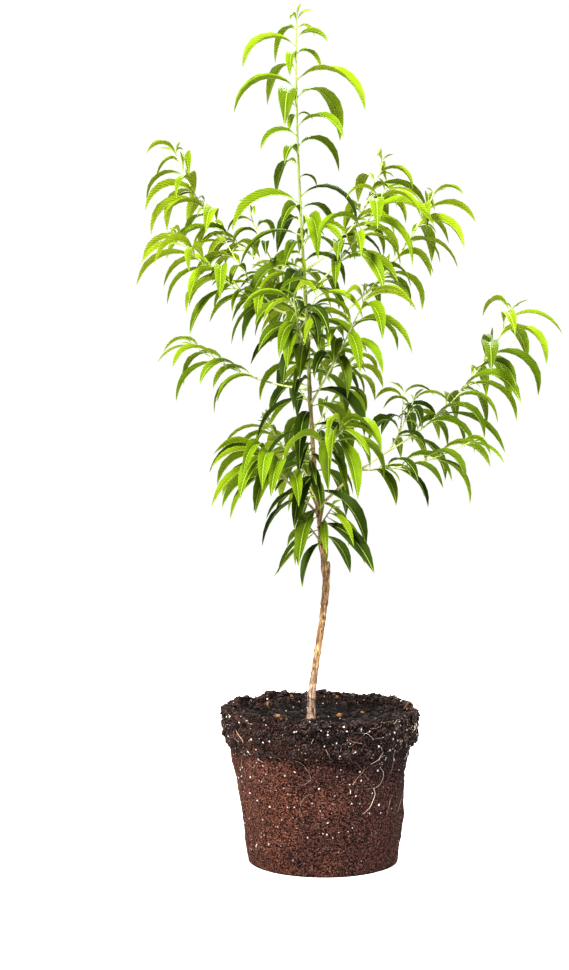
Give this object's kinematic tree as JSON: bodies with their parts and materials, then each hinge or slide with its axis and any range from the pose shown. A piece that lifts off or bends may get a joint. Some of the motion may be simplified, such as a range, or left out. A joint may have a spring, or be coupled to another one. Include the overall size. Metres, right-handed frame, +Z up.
{
  "type": "dwarf peach tree",
  "caption": "Young dwarf peach tree with a slim leaning trunk, arching boughs and long drooping leaves, standing on its bare, pot-shaped root ball.",
  "frame": {"origin": "middle of the root ball's flat underside", "axes": "+Z up along the tree, +X to the right and +Y away from a viewer in front, so the long low bough heads to +X"},
  "size_m": [0.5661, 0.3896, 1.1294],
  "materials": {
    "root_ball": "matt moist potting mix held by fine roots",
    "bark": "matt tan bark with fine lengthwise cracks",
    "green_bark": "satin green young bark",
    "foliage": "satin green leaves",
    "young_foliage": "satin yellow-green leaves"
  },
  "bodies": {
    "root": {"bough_back_high": "green_bark", "bough_back_low": "green_bark", "bough_back_middle": "green_bark", "bough_front_high": "green_bark", "bough_front_low": "green_bark", "bough_left_high": "green_bark", "bough_left_low": "green_bark", "bough_left_middle": "green_bark", "bough_left_top": "green_bark", "bough_right_high": "green_bark", "bough_right_low": "green_bark", "bough_right_middle": "green_bark", "bough_right_outer": "green_bark", "bough_right_top": "green_bark", "foliage_back_high": "foliage", "foliage_back_low": "foliage", "foliage_back_middle": "foliage", "foliage_front_high": "foliage", "foliage_front_low": "foliage", "foliage_leader": "young_foliage", "foliage_left_high": "foliage", "foliage_left_high_upright": "foliage", "foliage_left_low": "foliage", "foliage_left_middle": "foliage", "foliage_left_top": "foliage", "foliage_left_top_upright": "foliage", "foliage_right_high": "foliage", "foliage_right_low_inner": "foliage", "foliage_right_low_outer": "foliage", "foliage_right_low_under": "foliage", "foliage_right_middle": "foliage", "foliage_right_outer": "foliage", "foliage_right_top": "foliage", "foliage_spur_1": "foliage", "foliage_spur_10": "foliage", "foliage_spur_2": "foliage", "foliage_spur_3": "foliage", "foliage_spur_4": "foliage", "foliage_spur_5": "foliage", "foliage_spur_6": "foliage", "foliage_spur_7": "foliage", "foliage_spur_8": "foliage", "foliage_spur_9": "foliage", "root_ball": "root_ball", "trunk": "bark"}
  },
  "joints": []
}
